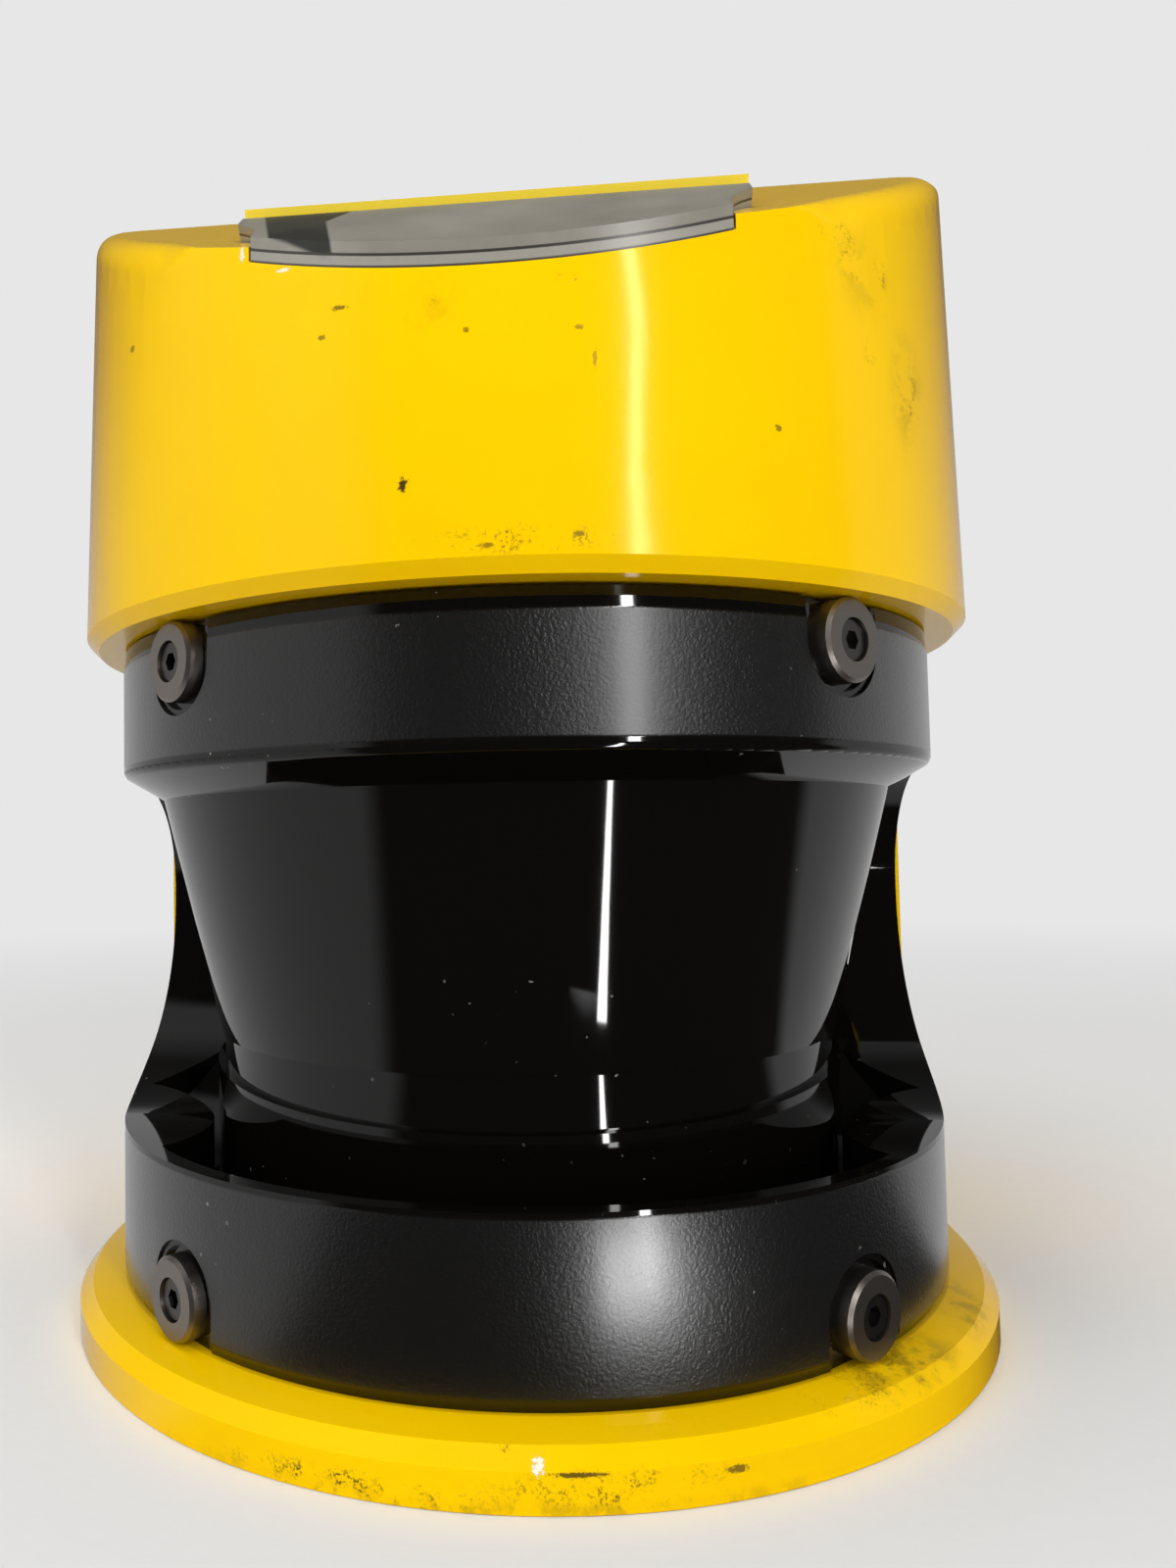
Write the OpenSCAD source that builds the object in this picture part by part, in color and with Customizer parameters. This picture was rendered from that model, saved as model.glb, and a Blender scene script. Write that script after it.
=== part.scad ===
// Safety laser scanner: a cast housing with a wrap-round optics cover, a spinning
// mirror on a vertical motor, a receiver above it and a control head on top.
// The mirror turns about Z, the front is -Y and the base stands on Z = 0.

/* [Housing] */
// Width of the base flange
base_w = 155; // [154:0.5:160]
// Distance from the mirror axis to the flat back
back_y = 82.5; // [82:0.5:88]
// Overall height
body_h = 185; // [184:0.5:192]
// Height of the base flange where the cover stands on it
flange_h = 7.8; // [7.4:0.1:8.2]
// Half width of the spine behind the cover
spine_r = 72; // [71.5:0.1:73]
// Distance from the mirror axis to the front of the spine
spine_y = 17; // [16.9:0.1:18]
// Wall of the castings
wall = 3.5; // [3:0.1:4]
// Radius of the upright rear corners
corner_r = 6; // [4:0.5:8]

/* [Optics cover] */
// Outer radius of the cover's two rings
cover_r = 70.5; // [70.3:0.1:71]
// Wall of the cover moulding
cover_t = 3; // [2.5:0.1:3.2]
// Height of the middle of the scan window
scan_z = 63; // [62.8:0.1:63.2]
// Top of the lower ring, which is the floor of the recess
recess_low = 32; // [31:0.25:33]
// Ceiling of the recess, at the lower edge of the upper ring
recess_high = 89.8; // [89:0.1:90.5]
// Radius that sweeps the floor of the recess up to its rear
sweep_low = 35; // [34:0.5:35]
// How far the recess reaches behind the mirror axis
recess_y = 13.9; // [13:0.1:13.9]
// Radius of the collar under the window
collar_r = 54.9; // [54.7:0.1:55.2]
// Radius of the window at its lower edge
window_low_r = 54.2; // [54:0.1:54.4]
// Radius of the window at its upper edge
window_high_r = 63.9; // [63.6:0.1:64.2]
// Floor of the groove round the collar
groove_z = 20; // [19.8:0.1:22]
// Outer radius of the groove round the collar
groove_r = 67.9; // [67.5:0.1:68]

/* [Cap] */
// Largest radius of the cap, just above its lower edge
cap_r = 76.4; // [76:0.1:77]
// How much the cap narrows from its lower edge to its top
cap_draft = 1.7; // [1:0.1:2]
// Underside of the cap
cap_z = 110.1; // [109.8:0.1:111]
// Height at which the sloping front starts
slope_z = 151.4; // [150:0.1:152]
// Angle of the sloping front
slope_angle = 32.2; // [31:0.1:33]
// Angle of the display window, which stands steeper than the front
window_angle = 40; // [39:0.5:41]
// Thickness of the display window
window_t = 2.6; // [2.2:0.1:3]
// Half width of the display window at its top
window_w = 34.9; // [33:0.1:36]

/* [Connection bay] */
// Width of the bay in the cap's rear
bay_w = 84; // [80:1:86]
// Depth of the bay
bay_d = 24; // [22:0.5:24]
// Lower edge of the bay
bay_low = 128; // [126:0.5:129]
// Upper edge of the bay
bay_high = 172; // [170:0.5:173]

/* [Mounting] */
// Spacing of the rear threads across the back
mount_x = 80; // [70:1:84]
// Spacing of the rear threads up the back
mount_z = 60; // [50:1:62]
// Radius of the rear threads
mount_r = 3.4; // [3:0.1:3.4]
// Depth of the rear threads
mount_d = 9; // [8:0.5:10]

/* [Fasteners] */
// Angle of the cover screws each side of the front
screw_angle = 42; // [40:0.5:44]
// Radius of the steel bushes under the cover screws
bush_r = 5.9; // [5.7:0.1:6.2]
// Gap between a bush and the flange or the cap beside it
bush_gap = 0.1; // [0.1:0.05:0.4]

/* [Mirror and motor] */
// Radius of the motor shaft
shaft_r = 3; // [2.5:0.1:3.5]
// Radius of the motor's laminated core
core_r = 22.5; // [21:0.5:23]
// Radius of the mirror seen from above
mirror_r = 21; // [19:0.5:21.5]
// Radius of the slotted encoder disc
encoder_r = 41; // [40:0.5:42]
// Number of slots in the encoder disc
encoder_slots = 36; // [24:4:40]

/* [Receiver] */
// Radius of the receiver lens
lens_r = 33; // [30:0.5:34]
// Height of the receiver lens's flat lower face
lens_z = 92; // [91.5:0.5:93]
// Height of the detector board
detector_z = 150; // [146:1:152]

/* [Hidden] */
$fn = 96;

fit = 0.03;       // between parts that are pressed or screwed together
clear = 0.25;     // between parts that are only placed together
far = 200;        // reaches past the whole object

base_r = base_w / 2;
rim_h = flange_h - 2.9;           // upright edge of the flange
cover_z = flange_h;               // foot of the cover
gasket_t = 0.8;
deck_z = cap_z - gasket_t;        // top of the base casting
cover_top = cap_z - 0.5;
drum_r = cover_r - cover_t - 0.7; // drums of the base casting inside the cover
drum_wall = 4;
drum_top = groove_z - cover_t - 0.2;
upper_drum_z = recess_high + cover_t + 3.5;
deck_t = 4;
floor_z = 6;                      // floor of the motor well
well_r = collar_r - cover_t - 0.4;

arc_high = recess_high - sweep_low - recess_low - 2;  // upper radius of the recess
arc_z = recess_low + sweep_low;
collar_z = recess_low + 5.3;      // top of the collar in front; it rises to the rear
collar_tilt = 4.6;
band_r = window_low_r - 0.5;      // plain band between the collar and the window
window_low = scan_z - 17.8;
window_high = scan_z + 22.2;
edge_r = 1.3;                     // rounded lower edge of the upper ring
edge_x = cover_r - edge_r - 0.1;
ledge_angle = 31;                 // slant of the ledge from that edge in to the window
ledge_foot = [edge_x + edge_r * sin(ledge_angle), recess_high - edge_r * cos(ledge_angle)];
cone_slope = (window_high_r - window_low_r) / (window_high - window_low);
ear_r = 22;

screw_low = flange_h + bush_r + bush_gap;
screw_high = cap_z - bush_r - bush_gap;
bush_face = cover_r + 1.5;
bush_seat = cover_r - 1.5;
pocket_r = bush_r + 1;
screw_r = 1.5;                    // the four screws that hold the optics cover
screw_head_r = 2.8;
bush_bore = screw_head_r + clear; // the room that a bush leaves round its screw's head
spigot_r = bush_bore + 0.5;       // step of the bush that sits in the cover's hole
screw_head_h = 2.5;
screw_length = 12;
m4_r = 2;
m4_head_r = 3.5;
m4_head_h = 2.4;

skirt_h = 1.9;
rim_t = wall;                     // inward rim at the cap's lower edge
roof_t = wall + 2;
hood_t = 1;
hood_angle = slope_angle - 4.5;
window_foot = slope_z - window_t / cos(window_angle) - 0.3;
window_run = 24.5;                // length of the display window up its slope
window_gap = 0.3;
pane_y = [14, 22.5];              // aperture under the window, up its slope
pane_x = 27;
mask_t = 3;
led_x = [-21, -14, -7, 0];
digit_x = [6, 20];

bay_wall = 3;
bay_front = back_y - bay_d;       // inner end of the bay
bay_back = bay_front - bay_wall;  // face of the bay wall inside the cap
m5_r = 2.5;
cap_screw_at = [for (x = [-1, 1], y = [-8, 66]) [58 * x, y]];
cap_screw_seat = body_h - 14;
cap_boss_r = 7;

board_t = 1.6;
main_board_y = 46;
power_board_y = 62;
post_r = 2.75;
m3_r = 1.5;
main_posts = [for (x = [-1, 1], z = [bay_low + 0.5, bay_high - 0.5]) [(bay_w / 2 - 5) * x, z]];
power_posts = [for (x = [-1, 1], z = [24, 84]) [50 * x, z]];

hub_r = 11.9;
bearing_r = 8;
bearing_w = 5;
bearing_low = floor_z + 5;
bearing_high = floor_z + 18;
plate_t = 4;
plate_r = 40;
hub_top = bearing_high + bearing_w;
stator_z = [floor_z + 8, floor_z + 18];
magnet_t = 2.5;
air_gap = 0.7;
bell_in = core_r + air_gap + magnet_t;
bell_t = 3;
bell_z = [floor_z + 6.5, floor_z + 28];
carrier_z = bell_z[1] + 2;
carrier_t = 4;
carrier_r = mirror_r + 2;
carrier_disc_r = encoder_r - 4;
mirror_t = 3;
encoder_t = 1;
motor_screw_at = [for (a = [60, 180, 300]) [35 * cos(a), 35 * sin(a)]];

tube_t = 2.5;
tube_r = lens_r + tube_t + 0.5;
tube_flange_r = tube_r + 9;
tube_mouth = lens_z - 3;
emitter_r = 6.5;

// A list of half-section points again on the other side of the axis, in reverse.
function mirrored(side) = [for (i = [len(side) - 1:-1:0]) [-side[i][0], side[i][1]]];

// A solid that is round in front and runs straight to a flat back. side is the
// outline of its right half, from the bottom up.
module d_form(side, back) {
    low = side[0][1];
    high = side[len(side) - 1][1];
    rotate([0, 0, 180])
        rotate_extrude(angle = 180)
            polygon(concat([[0, low]], side, [[0, high]]));
    translate([0, back, 0])
        rotate([90, 0, 0])
            linear_extrude(back)
                polygon(concat(side, mirrored(side)));
}

// An upright D-shaped prism.
module d_prism(r, back, low, high) {
    d_form([[r, low], [r, high]], back);
}

module disc(r, low, high) {
    translate([0, 0, low])
        cylinder(r = r, h = high - low);
}

module ring(r, bore, low, high) {
    difference() {
        disc(r, low, high);
        disc(bore, low - 1, high + 1);
    }
}

// A box between two corners.
module block(a, b) {
    translate(a)
        cube(b - a);
}

// Extrudes an outline drawn in side view, as Y and Z, across the whole width.
module across(width) {
    rotate([90, 0, 90])
        linear_extrude(width, center = true)
            children();
}

// Faces outwards at one angle from the front: Z runs out along the radius.
module facing(angle, out, z) {
    rotate([0, 0, angle])
        translate([0, -out, z])
            rotate([90, 0, 0])
                children();
}

// The four places of the cover screws, as angle and height.
screw_places = [for (a = [-screw_angle, screw_angle], z = [screw_low, screw_high]) [a, z]];

module at_cover_screws(out) {
    for (place = screw_places)
        facing(place[0], out, place[1])
            children();
}

// A cylinder that points along +Y.
module rod_y(r, from, to) {
    translate([0, from, 0])
        rotate([-90, 0, 0])
            cylinder(r = r, h = to - from);
}

// The waste outside two rounded upright rear corners.
module rear_corners(half, low, high) {
    for (side = [0, 1])
        mirror([side, 0, 0])
            translate([half - corner_r, back_y - corner_r, low])
                linear_extrude(high - low)
                    difference() {
                        square(corner_r + 5);
                        circle(corner_r);
                    }
}

// ---- Base casting ----

module spine() {
    difference() {
        block([-spine_r, spine_y, floor_z], [spine_r, back_y, deck_z]);
        block([-spine_r + wall, spine_y + wall, floor_z + 3],
              [spine_r - wall, back_y - wall, deck_z - deck_t]);
        block([-spine_r + 12, spine_y - 1, floor_z + 6],
              [spine_r - 12, spine_y + wall + 1, deck_z - deck_t]);
    }
}

// Ring wall under one end of the cover, with a thickened pad behind each screw.
module drum(low, high) {
    difference() {
        d_prism(drum_r, spine_y + 1, low, high);
        difference() {
            d_prism(drum_r - drum_wall, spine_y + 2, low - 1, high + 1);
            for (a = [-screw_angle, screw_angle])
                rotate([0, 0, a])
                    block([-6, -drum_r, low - 2], [6, -drum_r + screw_length, high + 2]);
        }
    }
}

module deck() {
    d_prism(drum_r, spine_y + 1, deck_z - deck_t, deck_z);
    for (p = cap_screw_at)
        translate([p[0], p[1], deck_z - 12])
            cylinder(r = cap_boss_r, h = 12);
}

module base_casting() {
    color("gold")
        difference() {
            union() {
                d_form([[base_r, 0], [base_r, rim_h], [base_r - 2, rim_h + 2.1],
                        [cover_r, flange_h]], back_y);
                drum(flange_h - 1, drum_top);
                drum(upper_drum_z, deck_z);
                spine();
                deck();
                for (p = power_posts)
                    translate([p[0], 0, p[1]])
                        rod_y(5, power_board_y + 9, back_y - 1);
                for (x = [-1, 1], z = [-1, 1])
                    translate([x * mount_x / 2, 0, scan_z - 3 + z * mount_z / 2])
                        rod_y(7.5, back_y - mount_d - 3, back_y - 1);
            }
            disc(well_r, floor_z, drum_top + 1);
            disc(tube_r + clear, deck_z - deck_t - 1, deck_z + 1);
            at_cover_screws(drum_r - screw_length)
                cylinder(r = screw_r + fit, h = screw_length + 5);
            for (p = cap_screw_at)
                translate([p[0], p[1], deck_z - 11])
                    cylinder(r = m5_r + fit, h = 20);
            for (p = motor_screw_at)
                translate([p[0], p[1], 2])
                    cylinder(r = m4_r + fit, h = 10);
            for (p = power_posts)
                translate([p[0], 0, p[1]])
                    rod_y(m3_r + fit, power_board_y + 5, power_board_y + 18);
            for (x = [-1, 1], z = [-1, 1])
                translate([x * mount_x / 2, 0, scan_z - 3 + z * mount_z / 2])
                    rod_y(mount_r, back_y - mount_d, back_y + 1);
            rear_corners(base_r, -1, flange_h);
            rear_corners(spine_r, flange_h, deck_z + 1);
        }
}

// ---- Optics cover ----

// Side view of the recess, grown by t: a floor that sweeps up to an upright rear
// and curves forward again into a ceiling.
module recess_outline(t) {
    low_y = recess_y - sweep_low;
    high_y = recess_y - arc_high;
    translate([-far, recess_low - t])
        square([far + low_y, recess_high - recess_low + 2 * t]);
    translate([low_y - 1, arc_z])
        square([high_y - low_y + 1, recess_high - arc_z + t]);
    translate([low_y - 1, arc_z])
        square([sweep_low + t + 1, 2]);
    intersection() {
        translate([low_y, arc_z])
            circle(sweep_low + t);
        translate([-far, 0])
            square([2 * far, arc_z]);
    }
    intersection() {
        translate([high_y, arc_z + 2])
            circle(arc_high + t);
        translate([-far, arc_z + 2])
            square([2 * far, far]);
    }
}

// Plan of the groove round the collar, grown by t: round in front, with an ear of
// the ring left standing each side and a slanting rear end.
module groove_plan(t) {
    intersection() {
        difference() {
            circle(groove_r + t);
            for (x = [-1, 1])
                translate([72 * x, -30])
                    circle(ear_r - t);
        }
        polygon([[-80, -90], [80, -90], [80, -18.6 + t], [50, 5 + t],
                 [-50, 5 + t], [-80, -18.6 + t]]);
    }
}

// Side view of the groove, grown by t: its floor sweeps up towards the rear.
module groove_outline(t) {
    sweep = 30;
    translate([-far, groove_z - t])
        square([far - 28, far]);
    translate([-29, groove_z + sweep])
        square([sweep + 1 + t, far]);
    translate([-28, groove_z + sweep])
        circle(sweep + t);
}

// Half section of the window, the band under it and the slanting ledge that leads up
// to the rounded lower edge of the upper ring, shrunk by t.
module core_section(t) {
    cone_in = [-1, cone_slope] / sqrt(1 + cone_slope * cone_slope);
    ledge_in = [-sin(ledge_angle), cos(ledge_angle)];
    corner = [window_high_r, window_high]
        + t * (cone_in + ledge_in) / (1 + cone_in * ledge_in);
    side = cover_r - t - 0.1;
    foot = t > 0 ? [side, corner[1] + (side - corner[0]) * tan(ledge_angle)] : ledge_foot;
    lean = t * sqrt(1 + cone_slope * cone_slope);
    polygon([
        [0, cover_z - t + 1], [band_r - t, cover_z - t + 1], [band_r - t, window_low],
        [window_low_r - lean, window_low], corner, foot,
        [t > 0 ? side : edge_x, recess_high + t], [0, recess_high + t]
    ]);
    if (t == 0)
        translate([edge_x, recess_high])
            intersection() {
                circle(edge_r);
                translate([0, -far])
                    square([far, far]);
            }
}

// The collar under the window, shrunk by t. Its top rises a little to the rear.
module collar(t) {
    difference() {
        disc(collar_r - t, cover_z - t, collar_z + 12);
        translate([0, -collar_r, collar_z - t])
            rotate([collar_tilt, 0, 0])
                translate([-far / 2, -far / 2, 0])
                    cube([far, far, far]);
    }
}

cover_side = [[cover_r - 0.8, cover_z], [cover_r, cover_z + 1.7],
              [cover_r, cover_top - 2.9], [cover_r - 0.3, cover_top]];

// The cover's outer form shrunk by t; its ends are left open when t is not zero.
module cover_form(t) {
    difference() {
        d_form(t > 0 ? [[cover_r - t, cover_z - t], [cover_r - t, cover_top + t]] : cover_side,
               spine_y + t);
        across(far)
            recess_outline(t);
        intersection() {
            linear_extrude(arc_z + 2)
                groove_plan(t);
            across(far)
                groove_outline(t);
        }
    }
    rotate_extrude()
        core_section(t);
    collar(t);
}

// Rounded pocket for a bush, open at its end towards the cap or the flange.
module pocket(place, r, seat) {
    up = place[1] > scan_z ? 0 : -far;
    facing(place[0], seat, place[1])
        linear_extrude(20) {
            circle(r);
            translate([-r, up])
                square([2 * r, far]);
        }
}

module optics_cover() {
    color([0.05, 0.05, 0.055])
        difference() {
            cover_form(0);
            cover_form(cover_t);
            translate([-far / 2, spine_y, -1])
                cube([far, far, far]);
            for (place = screw_places) {
                pocket(place, pocket_r, bush_seat);
                pocket(place, pocket_r + 0.9, bush_seat + 0.8);
            }
            at_cover_screws(drum_r - 2)
                cylinder(r = spigot_r + 0.1, h = 20);
        }
}

module cover_seals() {
    color("dimgray")
        for (low = [cover_z + 0.2, deck_z - 1.4])
            difference() {
                d_prism(cover_r - cover_t - 0.1, spine_y - 0.3, low, low + 1.2);
                d_prism(drum_r + 0.05, spine_y, low - 1, low + 3);
            }
}

module cover_bushes() {
    color("dimgray")
        at_cover_screws(0)
            difference() {
                union() {
                    translate([0, 0, bush_seat])
                        cylinder(r = bush_r, h = bush_face - bush_seat - 0.5);
                    translate([0, 0, bush_face - 0.5])
                        cylinder(r1 = bush_r, r2 = bush_r - 0.5, h = 0.5);
                    translate([0, 0, drum_r + 0.2])
                        cylinder(r = spigot_r, h = 4);
                }
                translate([0, 0, bush_seat])
                    cylinder(r = bush_bore, h = 10);
                cylinder(r = screw_r + 0.15, h = far);
            }
}

// A socket screw along +Z with its seat at Z = 0.
module socket_screw(r, head_r, head_h, length, hex) {
    difference() {
        union() {
            cylinder(r = head_r, h = head_h);
            translate([0, 0, -length])
                cylinder(r = r, h = length + 0.1);
        }
        translate([0, 0, head_h * 0.35])
            cylinder(r = hex / sqrt(3), h = head_h, $fn = 6);
    }
}

module cover_screws() {
    color("gray")
        at_cover_screws(bush_seat)
            socket_screw(screw_r, screw_head_r, screw_head_h, screw_length, 2.5);
}

// ---- Cap ----

cap_side = [[cap_r - skirt_h, cap_z], [cap_r, cap_z + skirt_h],
            [cap_r - cap_draft, body_h - 3], [cap_r - cap_draft - 0.9, body_h - 0.9],
            [cap_r - cap_draft - 3, body_h]];

// Local frame of the sloping front: Y runs up the slope and Z stands on it.
module on_slope() {
    translate([0, -cap_r, slope_z])
        rotate([slope_angle, 0, 0])
            children();
}

// Local frame of the display window's seat.
module on_window() {
    translate([0, -cap_r, window_foot])
        rotate([window_angle, 0, 0])
            children();
}

// Outline of the display window on its seat, grown sideways by gap. It is narrow at
// its foot and widens in a round neck under the hood.
module window_outline(gap) {
    foot_w = window_w - 3.6;
    neck_y = 14;
    neck_r = 9;
    difference() {
        union() {
            translate([-foot_w - gap, -10])
                square([2 * (foot_w + gap), window_run + gap + 10]);
            translate([-window_w - gap, neck_y])
                square([2 * (window_w + gap), window_run + gap - neck_y]);
        }
        for (x = [-1, 1])
            translate([x * (foot_w + neck_r + 0.05), neck_y])
                circle(neck_r - gap);
    }
}

// Space above the sloping front, apart from the hood behind the display window.
module slope_waste() {
    run_y = window_run * cos(window_angle);
    hood_y = -cap_r + run_y + window_gap;
    hood_z = window_foot + window_run * sin(window_angle) + window_t / cos(window_angle) + hood_t;
    difference() {
        on_slope()
            translate([-far / 2, -40, 0])
                cube([far, far, far]);
        translate([0, hood_y, hood_z])
            rotate([hood_angle, 0, 0])
                translate([-window_w - 0.3, 0, -20])
                    cube([2 * window_w + 0.6, 80, 20]);
    }
    on_window()
        linear_extrude(40)
            window_outline(window_gap);
}

module cap_inside() {
    difference() {
        d_form([[cap_r - wall, cap_z + rim_t],
                [cap_r - cap_draft - wall, body_h - wall]], back_y - wall);
        on_slope()
            translate([-far / 2, -40, -roof_t])
                cube([far, far, far]);
        for (p = cap_screw_at)
            translate([p[0], p[1], cap_z])
                cylinder(r = cap_boss_r, h = far);
        block([-bay_w / 2 - bay_wall, bay_back, bay_low - bay_wall],
              [bay_w / 2 + bay_wall, back_y, bay_high + bay_wall]);
    }
    d_prism(drum_r - drum_wall - 0.5, back_y - 8, cap_z - 1, cap_z + rim_t + 1);
}

module top_cover() {
    color("gold")
        difference() {
            d_form(cap_side, back_y);
            difference() {
                cap_inside();
                for (p = cap_screw_at)
                    translate([p[0], p[1], cap_z - 2])
                        cylinder(r = cap_boss_r, h = 20);
            }
            slope_waste();
            rear_corners(cap_r, cap_z - 1, body_h + 1);
            translate([0, back_y - 3, body_h - 3])
                rear_edge();
            block([-bay_w / 2, bay_front, bay_low], [bay_w / 2, back_y + 1, bay_high]);
            for (p = cap_screw_at)
                translate([p[0], p[1], 0]) {
                    cylinder(r = m5_r + clear, h = far);
                    translate([0, 0, cap_screw_seat])
                        cylinder(r = 5.2, h = far);
                }
            on_window() {
                block([-pane_x, pane_y[0], -20], [pane_x, pane_y[1], 1]);
                block([-pane_x - 4, pane_y[0] - 1.5, -20], [pane_x + 4, pane_y[1] + 2.5, -mask_t]);
            }
            bay_holes();
            for (p = main_posts)
                translate([p[0], 0, p[1]])
                    rod_y(m3_r + fit, bay_back - 5, bay_back + 2);
        }
}

// The waste outside the rounded upper rear edge.
module rear_edge() {
    across(far)
        difference() {
            square(8);
            circle(3);
        }
}

module cap_gasket() {
    color("dimgray")
        difference() {
            d_prism(drum_r, back_y - 3, deck_z, cap_z);
            d_prism(drum_r - 3, back_y - 6.5, deck_z - 1, cap_z + 1);
        }
}

module cap_screws() {
    color("gray")
        for (p = cap_screw_at)
            translate([p[0], p[1], cap_screw_seat])
                socket_screw(m5_r, 4.5, 5, cap_screw_seat - deck_z + 9, 4);
}

// ---- Display ----

module display_window() {
    color([0.35, 0.35, 0.32, 0.7])
        intersection() {
            on_window()
                linear_extrude(window_t)
                    window_outline(0);
            d_form([[cap_r - 0.1, cap_z], [cap_r - 0.1 - cap_draft, body_h]], 0.1);
        }
}

module display_mask() {
    color([0.06, 0.06, 0.06])
        on_window()
            difference() {
                block([-pane_x + 0.1, pane_y[0] + 0.1, -mask_t], [pane_x - 0.1, pane_y[1] - 0.1, 0]);
                for (x = led_x)
                    translate([x, 18.2, -mask_t - 1])
                        cylinder(r = 1.8, h = mask_t + 2);
                block([digit_x[0] - 0.1, 15, -mask_t - 1], [digit_x[1] + 0.1, 21.5, 1]);
            }
}

module status_lenses() {
    color("ivory")
        on_window()
            for (x = led_x)
                translate([x, 18.2, -mask_t])
                    cylinder(r = 1.7, h = mask_t - 0.4);
}

module digit_display() {
    color([0.12, 0.1, 0.1])
        on_window()
            block([digit_x[0], 15.1, -mask_t], [digit_x[1], 21.4, -0.8]);
}

module indicator_board() {
    color("darkgreen")
        on_window()
            block([-pane_x - 3.7, pane_y[0] - 1.2, -mask_t - board_t],
                  [pane_x + 3.7, pane_y[1] + 2.2, -mask_t]);
}

// ---- Connection bay ----

socket_x = [-34, 10];
socket_z = [139, 161];
socket_end = bay_front + 12;
socket_floor = bay_front - 1;
round_x = 27;
config_z = 159;
vent_z = 141;
barrel_r = 5;
io_face = bay_back - 2;           // side of the connection board that the sockets stand on

module bay_holes() {
    block([socket_x[0] - clear, bay_back - 2, socket_z[0] - clear],
          [socket_x[1] + clear, bay_front + 1, socket_z[1] + clear]);
    translate([round_x, 0, config_z])
        rod_y(barrel_r + 0.1, bay_back - 2, bay_front + 1);
    translate([round_x, 0, vent_z])
        rod_y(4 + 0.1, bay_back - 2, bay_front + 1);
}

module io_socket() {
    color([0.1, 0.1, 0.11])
        difference() {
            union() {
                block([socket_x[0], io_face, socket_z[0]], [socket_x[1], socket_end, socket_z[1]]);
                block([socket_x[0] - 2, bay_front, socket_z[0] - 2],
                      [socket_x[1] + 2, bay_front + 2, socket_z[1] + 2]);
            }
            block([socket_x[0] + 2, socket_floor, socket_z[0] + 2],
                  [socket_x[1] - 2, socket_end + 1, socket_z[1] - 2]);
        }
}

module io_pins() {
    color("gold")
        for (i = [0:9], z = [-1, 1])
            translate([socket_x[0] + 4.3 + i * 3.94, 0, (socket_z[0] + socket_z[1]) / 2 + 4 * z])
                rod_y(0.6, socket_floor, socket_end - 4);
}

module io_board() {
    color("darkgreen")
        block([socket_x[0] - 4, io_face - board_t, bay_low + 4], [round_x + 8, io_face, bay_high - 4]);
}

module config_socket() {
    color("silver")
        translate([round_x, 0, config_z])
            difference() {
                union() {
                    rod_y(barrel_r, io_face, bay_front + 9);
                    translate([0, bay_front, 0])
                        rotate([-90, 0, 0])
                            cylinder(r = 7.5, h = 2.2, $fn = 6);
                }
                rod_y(barrel_r - 1.4, bay_front, bay_front + 10);
            }
}

module config_cap() {
    color([0.08, 0.08, 0.08])
        translate([round_x, 0, config_z])
            difference() {
                rod_y(barrel_r + 1.6, bay_front + 2.6, bay_front + 10.6);
                rod_y(barrel_r + fit, bay_front + 2, bay_front + 9);
            }
}

module vent_plug() {
    color([0.1, 0.1, 0.11])
        translate([round_x, 0, vent_z])
            difference() {
                union() {
                    rod_y(4, bay_back, bay_front + 1);
                    rod_y(6.5, bay_front, bay_front + 2.5);
                }
                for (a = [0:60:300])
                    rotate([0, a, 0])
                        translate([4.2, 0, 0])
                            rod_y(0.6, bay_front + 1.2, bay_front + 3);
            }
}

// ---- Boards ----

// An upright board facing front, as its half width and height range, drilled for posts.
module upright_board(half, low, high, y, posts) {
    difference() {
        block([-half, y, low], [half, y + board_t, high]);
        for (p = posts)
            translate([p[0], 0, p[1]])
                rod_y(m3_r + 0.1, y - 1, y + board_t + 1);
    }
}

main_half = bay_w / 2 + 4;
main_low = bay_low - 8;
main_high = bay_high + 4;
power_half = 55;
power_low = 18;
power_high = 94;

module main_board() {
    color("darkgreen")
        upright_board(main_half, main_low, main_high, main_board_y, main_posts);
}

// Parts on the front of a board: each is its corner, size and height off the board.
module board_parts(parts, y) {
    for (part = parts)
        block([part[0], y - part[4], part[1]], [part[0] + part[2], y, part[1] + part[3]]);
}

main_parts = [[-30, main_low + 16, 20, 20, 2], [0, main_low + 20, 14, 14, 1.6],
              [22, main_low + 18, 9, 16, 2.4], [-6, main_low + 3, 24, 6, 4.5]];
power_parts = [[-40, 46, 26, 20, 12], [-6, 46, 12, 12, 9], [14, 46, 12, 12, 9],
               [-36, 74, 30, 8, 6], [6, 70, 26, 14, 4]];

module main_board_parts() {
    color([0.1, 0.1, 0.1])
        board_parts(main_parts, main_board_y);
}

module power_board() {
    color("darkgreen")
        upright_board(power_half, power_low, power_high, power_board_y, power_posts);
}

module power_board_parts() {
    color([0.15, 0.15, 0.2])
        board_parts(power_parts, power_board_y);
}

// A threaded post behind a board, ending in a stud.
module post(y, seat, stud) {
    difference() {
        union() {
            rod_y(post_r, y + board_t, seat);
            rod_y(m3_r, seat - 1, seat + stud);
        }
        rod_y(m3_r + fit, y, y + board_t + 5.5);
    }
}

module board_posts() {
    color("gold") {
        for (p = main_posts)
            translate([p[0], 0, p[1]])
                post(main_board_y, bay_back, 1.8);
        for (p = power_posts)
            translate([p[0], 0, p[1]])
                post(power_board_y, power_board_y + 9, 5);
    }
}

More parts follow.
